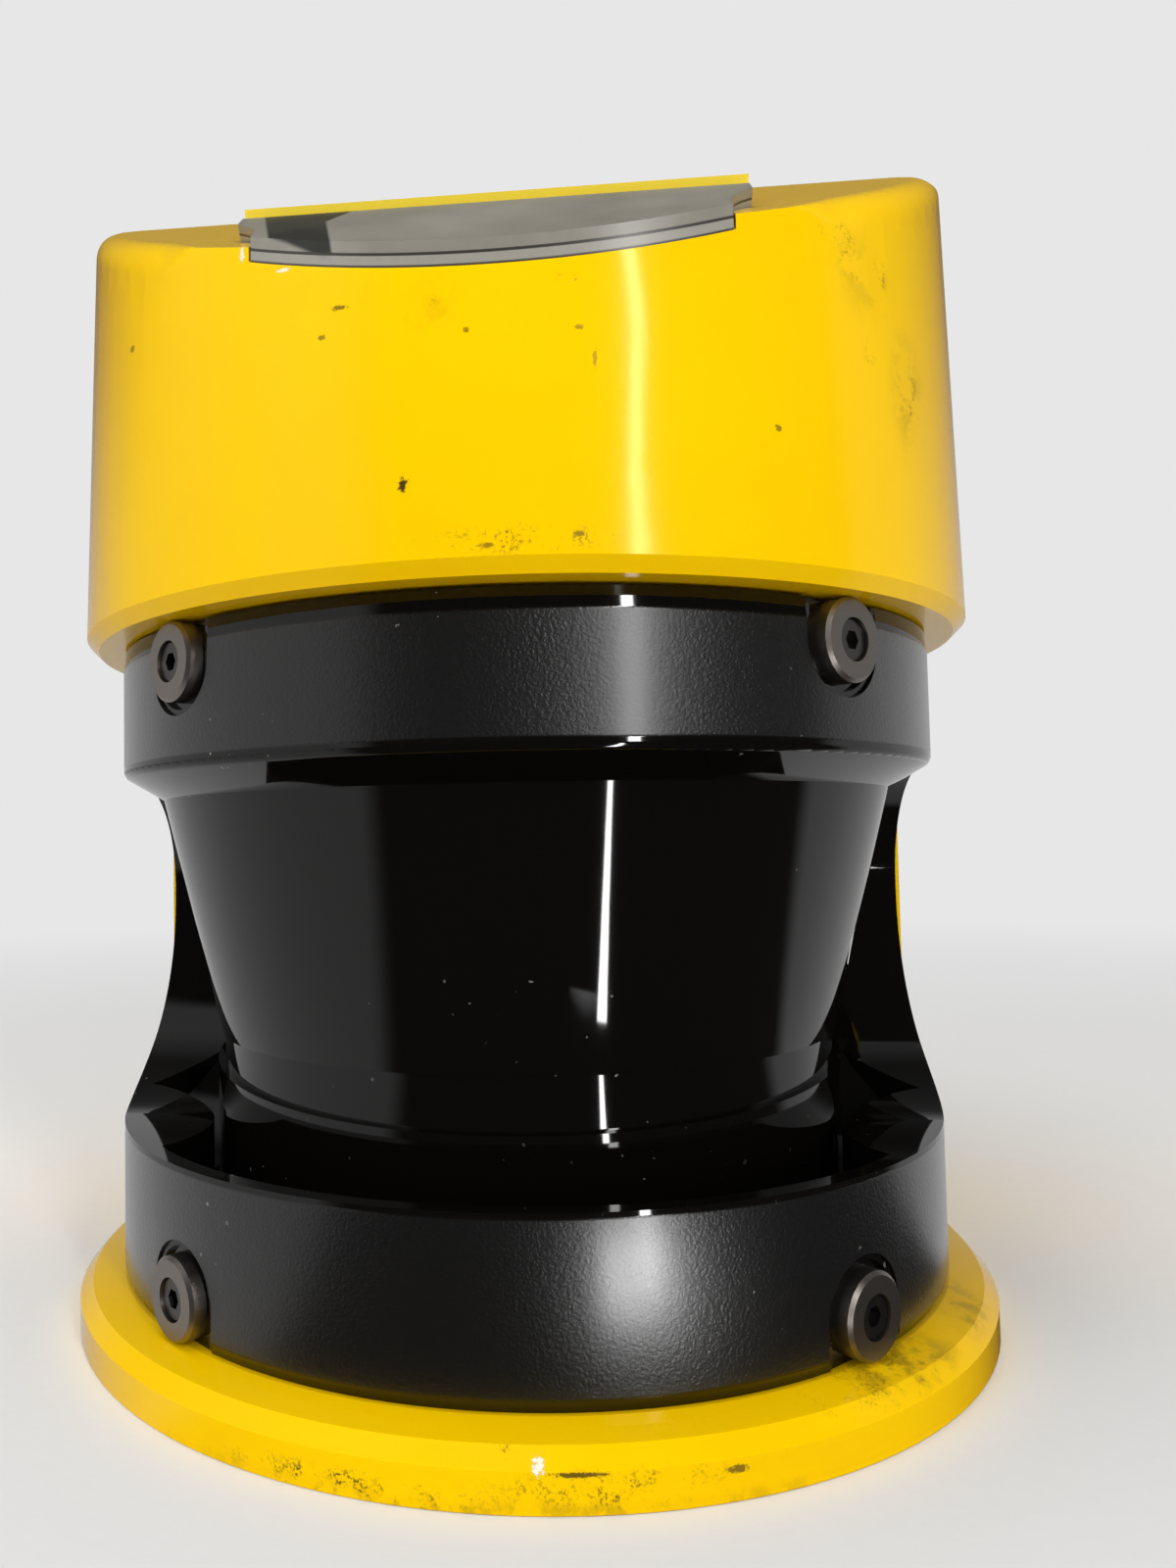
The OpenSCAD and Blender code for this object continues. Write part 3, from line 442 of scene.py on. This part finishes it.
# each mark is its centre, its reach on each axis, both in metres, and its strength
capMarks = {
    "spots": [
        ((-0.0105, -0.0755, 0.1215), (0.0007, 0.002, 0.0012), 1.0),
        ((-0.0186, -0.0733, 0.1452), (0.0012, 0.002, 0.0004), 0.8),
        ((-0.0211, -0.0727, 0.1417), (0.0006, 0.002, 0.0004), 0.7),
        ((-0.0023, -0.0757, 0.1403), (0.0005, 0.002, 0.0005), 0.7),
        ((0.0115, -0.0748, 0.1402), (0.0006, 0.002, 0.0004), 0.6),
        ((-0.0533, -0.0535, 0.1504), (0.0006, 0.002, 0.0006), 0.7),
        ((0.0133, -0.0746, 0.1362), (0.0003, 0.002, 0.0016), 0.5),
        ((0.0364, -0.0667, 0.1292), (0.0005, 0.002, 0.0006), 0.7),
        ((-0.0002, -0.0764, 0.1133), (0.0012, 0.002, 0.0004), 0.7),
        ((0.0109, -0.0756, 0.1145), (0.0008, 0.002, 0.0004), 0.7),
    ],
    "smears": [
        ((0.0099, -0.0750, 0.1452), (0.0030, 0.003, 0.0026), 0.9),
        ((-0.0070, -0.0753, 0.1448), (0.0020, 0.003, 0.0016), 0.5),
        ((0.0461, -0.0595, 0.1577), (0.0040, 0.005, 0.0022), 0.9),
        ((0.0480, -0.0580, 0.1540), (0.0026, 0.004, 0.0030), 0.9),
        ((0.0529, -0.0537, 0.1543), (0.0020, 0.004, 0.0034), 0.8),
        ((0.0508, -0.0561, 0.1431), (0.0016, 0.004, 0.0030), 0.6),
        ((0.0575, -0.0492, 0.1390), (0.0030, 0.005, 0.0070), 1.0),
        ((0.0040, -0.0762, 0.1140), (0.0160, 0.004, 0.0024), 0.7),
    ],
    "grime": [
        ((-0.0070, -0.0755, 0.1440), (0.0060, 0.004, 0.0050), 0.18),
        ((0.0575, -0.0492, 0.1390), (0.0060, 0.008, 0.0120), 0.30),
        ((0.0500, -0.0560, 0.1530), (0.0080, 0.008, 0.0080), 0.22),
    ],
    "chips": [
        ((-0.0326, -0.0684, 0.1558), (0.0004, 0.002, 0.0013), 0.8),
        ((-0.0264, -0.0707, 0.1519), (0.0011, 0.002, 0.0003), 0.8),
    ],
}
baseMarks = {
    "spots": [
        ((0.0, -0.0775, 0.0068), (0.0012, 0.002, 0.0008), 0.9),
        ((0.0084, -0.0770, 0.0046), (0.0040, 0.002, 0.0004), 0.9),
        ((0.0271, -0.0726, 0.0037), (0.0018, 0.002, 0.0006), 0.8),
    ],
    "smears": [
        ((-0.0200, -0.0745, 0.0014), (0.0340, 0.008, 0.0024), 1.0),
        ((0.0150, -0.0760, 0.0028), (0.0240, 0.006, 0.0030), 0.8),
        ((0.0500, -0.0560, 0.0070), (0.0200, 0.016, 0.0024), 0.55),
    ],
    "grime": [
        ((0.0520, -0.0520, 0.0076), (0.0180, 0.014, 0.0030), 0.55),
        ((0.0660, -0.0330, 0.0076), (0.0060, 0.014, 0.0030), 0.5),
        ((0.0, -0.0750, 0.0), (0.0800, 0.020, 0.0022), 0.35),
    ],
    "chips": [((0.0039, -0.0774, 0.0055), (0.0008, 0.002, 0.0011), 1.0)],
}

finishes = {
    "yellow_paint": yellowPaint("yellowPaintCap", capMarks),
    "cover_black": coverBlack("coverBlack"),
    "seal_rubber": plastic("sealRubber", tint(24, 24, 24), 0.6),
    "gunmetal": metal("gunmetal", tint(146, 139, 133), 0.34),
    "dark_screw": metal("darkScrew", tint(96, 92, 90), 0.3),
    "steel_screw": metal("steelScrew", tint(176, 174, 170), 0.26),
    "smoke_window": smokeWindow("smokeWindow"),
    "black_plastic": plastic("blackPlastic", tint(22, 22, 23), 0.42),
    "lens_white": plastic("lensWhite", tint(226, 226, 220), 0.3),
    "display_red": plastic("displayRed", tint(58, 14, 14), 0.12),
    "board_green": circuitBoard("boardGreen"),
    "gold_contact": metal("goldContact", tint(226, 180, 92), 0.2),
    "nickel": metal("nickel", tint(190, 186, 178), 0.22),
    "chip_black": plastic("chipBlack", tint(30, 30, 32), 0.5),
    "brass_post": metal("brassPost", tint(206, 168, 92), 0.26),
    "black_aluminium": metal("blackAluminium", tint(40, 40, 42), 0.4),
    "filter_glass": clearPart("filterGlass", tint(120, 24, 30)),
    "clear_glass": clearPart("clearGlass", tint(240, 246, 248)),
    "bare_aluminium": metal("bareAluminium", tint(198, 199, 200), 0.3),
    "bearing_steel": metal("bearingSteel", tint(186, 186, 186), 0.18),
    "core_steel": metal("coreSteel", tint(120, 120, 122), 0.4, stretch=(1, 1, 30)),
    "copper_winding": winding("copperWinding"),
    "clear_plastic": clearPart("clearPlastic", tint(232, 236, 238), 0.08, 1.49),
    "magnet": plastic("magnet", tint(58, 57, 58), 0.45),
    "mirror_front": frontMirror("mirrorFront"),
}
basePaint = yellowPaint("yellowPaintBase", baseMarks)

for name, node in nodes.items():
    slotName = node.material_slots[0].material.name.split(".")[0]
    node.material_slots[0].material = finishes[slotName]
nodes["base_casting"].material_slots[0].material = basePaint
print("finishes on", len(nodes), "nodes")


# the cap's upper front edge, in metres: its rounding, where that fades out beside the display
# window, how the mesh is cut finer for it, and the outer wall as pairs of height and radius
rim = {
    "radius": 0.0034,
    "fadeFrom": 0.0390,
    "fadeTo": 0.0480,
    "passes": (0.02, 0.012, 0.007, 0.004, 0.0025, 0.0016, 0.0012),
    "evenedPasses": 5,          # in these the triangles are evened out as well
    "samples": 33,              # places looked at along an edge
    "margin": 0.0008,           # beyond the rounding, cut finer too
    "slack": 0.0003,
    "weld": 0.000002,
    "sliver": 0.00001,
    "flat": 0.4,                # degrees within which faces are one plane
    "level": 0.004,             # the same for the cut triangles, in radians
    "smooth": 26.0,             # edges that turn more, in degrees, stay sharp
    "wall": ((0.1120, 0.0764), (0.1820, 0.0747), (0.1841, 0.0738), (0.1850, 0.0717)),
}


# how far points lie below the sloping front and inside the outer wall
def capDepths(points):
    turn = math.radians(slope["angle"])
    rise = slope["foot"] + (points[..., 1] - capLow.y) * math.tan(turn)
    heights, radii = np.array(rim["wall"]).T
    radius = np.hypot(points[..., 0], points[..., 1])
    inside = np.interp(points[..., 2], heights, radii) - radius
    return (rise - points[..., 2]) * math.cos(turn), inside


# The rounding as seen in the two depths: a point outside the circle that touches both
# surfaces is drawn to it, and the two steps that this takes are turned back into space.
def roundRim(points):
    below, inside = capDepths(points)
    side = np.clip((abs(points[:, 0]) - rim["fadeFrom"]) / (rim["fadeTo"] - rim["fadeFrom"]), 0, 1)
    radius = rim["radius"] * side * side * (3 - 2 * side)
    across, down = radius - inside, radius - below
    away = np.hypot(across, down)
    close = (points[:, 1] < 0) & (np.minimum(below, inside) > -rim["slack"] / 3)
    close &= (across > 0) & (down > 0) & (away > radius)
    share = 1 - radius / np.where(close, away, 1)
    stepDown, stepIn = np.where(close, down * share, 0), np.where(close, across * share, 0)
    turn = math.radians(slope["angle"])
    front = np.array([0, -math.sin(turn), math.cos(turn)])
    wall = points * [1, 1, 0] / np.maximum(np.hypot(points[:, 0], points[:, 1]), 1e-9)[:, None]
    meet = wall @ front
    alongFront = (meet * stepIn - stepDown) / (1 - meet ** 2)
    alongWall = (meet * stepDown - stepIn) / (1 - meet ** 2)
    return points + alongFront[:, None] * front + alongWall[:, None] * wall


# edges that pass near the rim and are still long
def longEdges(work, fineness):
    ends = np.array([[v.co[:] for v in e.verts] for e in work.edges])
    start, way = ends[:, 0], ends[:, 1] - ends[:, 0]
    steps = np.linspace(0, 1, rim["samples"])[None, :, None]
    along = start[:, None] + way[:, None] * steps
    below, inside = capDepths(along)
    near = np.maximum(below, inside) < rim["radius"] + rim["margin"]
    near &= np.minimum(below, inside) > -rim["slack"]
    near &= (along[..., 1] < 0) & (abs(along[..., 0]) > rim["fadeFrom"] - 0.0005)
    chosen = near.any(axis=1) & (np.linalg.norm(way, axis=1) > fineness)
    return [e for e, long in zip(work.edges, chosen) if long]


# A copy of the cap with its upper front edge rounded, which the solid has sharp.
def makeCap():
    source = nodes["top_cover"]
    mesh = source.data.copy()
    mesh.name = "capShell"
    if "custom_normal" in mesh.attributes:
        mesh.attributes.remove(mesh.attributes["custom_normal"])
    mesh.transform(source.matrix_world)
    work = bmesh.new()
    work.from_mesh(mesh)
    bmesh.ops.remove_doubles(work, verts=work.verts, dist=rim["weld"])
    bmesh.ops.dissolve_limit(
        work, angle_limit=math.radians(rim["flat"]), verts=work.verts, edges=work.edges,
        delimit={"NORMAL"},
    )
    bmesh.ops.triangulate(work, faces=work.faces)
    # finer and finer triangles near the rim
    for done, fineness in enumerate(rim["passes"]):
        edges = longEdges(work, fineness)
        bmesh.ops.subdivide_edges(work, edges=edges, cuts=1, use_grid_fill=False)
        bmesh.ops.triangulate(work, faces=[f for f in work.faces if len(f.verts) > 3])
        if done < rim["evenedPasses"]:
            paired = [e for e in work.edges if len(e.link_faces) == 2]
            flat = [e for e in paired if e.calc_face_angle(0) < rim["level"]]
            bmesh.ops.beautify_fill(work, faces=work.faces, edges=flat, method="ANGLE")
    bmesh.ops.dissolve_degenerate(work, edges=work.edges, dist=rim["sliver"])
    work.to_mesh(mesh)
    work.free()
    points = np.empty(len(mesh.vertices) * 3)
    mesh.vertices.foreach_get("co", points)
    points = np.clip(roundRim(points.reshape(-1, 3)), capLow, capHigh)
    mesh.vertices.foreach_set("co", points.ravel())
    mesh.polygons.foreach_set("use_smooth", np.ones(len(mesh.polygons), bool))
    mesh.set_sharp_from_angle(angle=math.radians(rim["smooth"]))
    mesh.update()
    piece = bpy.data.objects.new("capShell", mesh)
    bpy.context.scene.collection.objects.link(piece)
    normals = piece.modifiers.new("normals", "WEIGHTED_NORMAL")
    normals.keep_sharp = True
    normals.weight = 100
    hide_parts("top_cover")
    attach(piece, "housing")


makeCap()
print("rounded the cap")


stage = {
    "pale": 0.80,
    "floorSize": 6.0,
    "floorGap": 0.0001,
    "fadeFrom": 0.22,
    "fadeTo": 0.95,
    # the dim side of the room, which only glossy surfaces see: its tone, and where it is in
    # degrees to the right of straight ahead
    "dim": 0.035,
    "dimFrom": -33.0,
    "dimTo": 84.0,
    "dimSoft": 9.0,
    "fill": 0.50,
    "mirrored": 0.58,           # what glossy surfaces see of the room on its bright side
    "behindDim": 0.85,          # how much less of it they see high up behind the object
}


# how far a direction seen from the object is inside the dim side of the room, 0 to 1
def dimSide(f, x, y):
    turn = f.node("Math", {"operation": "ARCTAN2"}, {0: x, 1: 0 - y}) * (180 / math.pi)
    return turn.between(stage["dimFrom"], stage["dimTo"], stage["dimSoft"])


def makeFloor():
    mesh = bpy.data.meshes.new("floor")
    half = stage["floorSize"]
    corners = [(-half, -half, 0), (half, -half, 0), (half, half, 0), (-half, half, 0)]
    mesh.from_pydata(corners, [], [(0, 1, 2, 3)])
    floor = bpy.data.objects.new("floor", mesh)
    floor.location.z = cadLow.z - stage["floorGap"]
    bpy.context.scene.collection.objects.link(floor)
    f = Finish("paleFloor")
    away = (f.x * f.x + f.y * f.y).power(0.5).rise(stage["fadeFrom"], stage["fadeTo"])
    pale = (stage["pale"],) * 3 + (1,)
    grain = f.noise(400, 3, 0.6) * 0.03 + (stage["pale"] - 0.015)
    shade = f.node("CombineColor", sockets={0: grain, 1: grain, 2: grain})
    ground = f.node("BsdfDiffuse", sockets={"Color": shade})
    glow = f.node("Emission", sockets={"Color": pale})
    shader = f.node("MixShader", sockets={0: away, 1: ground, 2: glow})
    glossy = f.node("LightPath", out="Is Glossy Ray")
    night = f.node("Emission", sockets={"Color": (stage["dim"],) * 3 + (1,)})
    room = f.node("Emission", sockets={"Color": (stage["mirrored"],) * 3 + (1,)})
    mirrored = f.node("MixShader", sockets={0: dimSide(f, f.x, f.y), 1: room, 2: night})
    shown = f.node("MixShader", sockets={0: glossy, 1: shader, 2: mirrored})
    f.node("OutputMaterial", sockets={0: shown}, out=None)
    mesh.materials.append(f.material)


def makeWorld():
    world = bpy.data.worlds.new("studio")
    bpy.context.scene.world = world
    f = Nodes(world)
    path = f.node("LightPath", out=None)
    rays = "Is Camera Ray", "Is Glossy Ray", "Is Transmission Ray"
    seen, glossy, through = f.wires(path, rays)
    cut = f.node("SeparateXYZ", sockets={0: f.node("TexCoord", out="Generated")}, out=None)
    x, y, z = f.wires(cut, range(3))
    dim = dimSide(f, x, y) * glossy
    shown = seen.most(through)
    level = shown * (stage["pale"] - stage["fill"]) + stage["fill"]
    behind = z.rise(0.1, 0.5) * y.rise(-0.2, 0.3)
    level = level * (1 - glossy)
    level = level + glossy * stage["mirrored"] * (1 - behind * stage["behindDim"])
    level = level * (1 - dim) + dim * stage["dim"]
    sky = f.node("Background", sockets={"Color": (1, 1, 1, 1), "Strength": level})
    f.node("OutputWorld", sockets={0: sky}, out=None)


# an oblong lamp at a place, facing a target, its long side along the given direction
def makeLamp(name, place, target, width, height, power, along=(0, 0, 1)):
    data = bpy.data.lights.new(name, "AREA")
    data.shape = "RECTANGLE"
    data.size, data.size_y = width, height
    data.energy = power
    lamp = bpy.data.objects.new(name, data)
    bpy.context.scene.collection.objects.link(lamp)
    back = (Vector(place) - Vector(target)).normalized()
    side = Vector(along).cross(back).normalized()
    up = back.cross(side)
    lamp.matrix_world = Matrix.Translation(place) @ Matrix((side, up, back)).transposed().to_4x4()
    lamp.visible_camera = False
    return lamp


lamps = {
    "tubeTurn": 31.0,           # degrees to the right of straight ahead
    "tubeAway": 1.6,
    "tubeWidth": 0.088,
    "tubeHeight": 1.3,
    "tubeLift": 0.02,
    "tubeGlow": 34.0,           # brightness of its face
    # ends of what the scan window mirrors of it on the floor
    "windowFoot": ((0.0510, -0.1180), (0.1500, -0.3070)),
    "footWidth": 0.0060,
    "footLift": 0.0006,
    # a small lamp with a narrow beam for the gleam on the lower satin ring
    "ringPlace": (0.0420, -0.1120, 0.0050),
    "ringTarget": (0.0220, -0.0680, 0.0210),
    "ringSize": (0.0280, 0.0150),
    "ringSpread": 34.0,
    "ringPower": 0.0011,
    "topPlace": (-0.3, -0.5, 2.0),
    "topSize": 1.4,
    "topPower": 15.5,
    "fillPlace": (-1.3, -1.3, 0.9),
    "fillSize": 1.0,
    "fillPower": 9.0,
    "target": (0, 0, 0.1),
}


def makeLights():
    turn = math.radians(lamps["tubeTurn"])
    place = (
        lamps["tubeAway"] * math.sin(turn),
        -lamps["tubeAway"] * math.cos(turn),
        lamps["tubeHeight"] / 2 + lamps["tubeLift"],
    )
    glow = lamps["tubeGlow"] * math.pi
    area = lamps["tubeWidth"] * lamps["tubeHeight"]
    size = lamps["tubeWidth"], lamps["tubeHeight"]
    makeLamp("tube", place, (0, 0, place[2]), *size, glow * area)
    # the same tube goes on below the floor's level in what the glossy cover mirrors
    start, end = [Vector((*point, lamps["footLift"])) for point in lamps["windowFoot"]]
    middle, along, width = (start + end) / 2, end - start, lamps["footWidth"]
    strip = makeLamp(
        "tubeFoot", middle, middle + Vector((0, 0, 1)), width, along.length,
        glow * width * along.length, along,
    )
    patch = makeLamp(
        "ringPatch", lamps["ringPlace"], lamps["ringTarget"], *lamps["ringSize"], lamps["ringPower"]
    )
    patch.data.spread = math.radians(lamps["ringSpread"])
    for lamp in (strip, patch):
        lamp.visible_diffuse = False
        lamp.visible_transmission = False
    for name in ("top", "fill"):
        place, size, power = [lamps[name + part] for part in ("Place", "Size", "Power")]
        lamp = makeLamp(name, place, lamps["target"], size, size, power)
        lamp.visible_glossy = False


view = {
    "place": (0.0090, -0.2147, 0.0781),
    "turn": 5.78,
    "tilt": 2.76,
    "lean": 0.92,
    "lens": 26.615,
    "shiftAcross": 0.0873,
    "shiftUp": -0.0016,
}


def makeCamera():
    data = bpy.data.cameras.new("camera")
    data.sensor_fit = "AUTO"
    data.sensor_width = 36
    data.lens = view["lens"]
    data.shift_x, data.shift_y = view["shiftAcross"], view["shiftUp"]
    data.clip_start = 0.01
    camera = bpy.data.objects.new("camera", data)
    bpy.context.scene.collection.objects.link(camera)
    turned = (
        Matrix.Rotation(math.radians(view["turn"]), 4, "Z")
        @ Matrix.Rotation(math.radians(view["tilt"]), 4, "X")
        @ Matrix.Rotation(math.radians(view["lean"]), 4, "Y")
        @ Matrix.Rotation(math.radians(90), 4, "X")
    )
    camera.matrix_world = Matrix.Translation(view["place"]) @ turned
    bpy.context.scene.camera = camera


makeFloor()
makeWorld()
makeLights()
makeCamera()
bpy.context.scene.view_settings.view_transform = "Standard"
print("floor, light and camera are set")
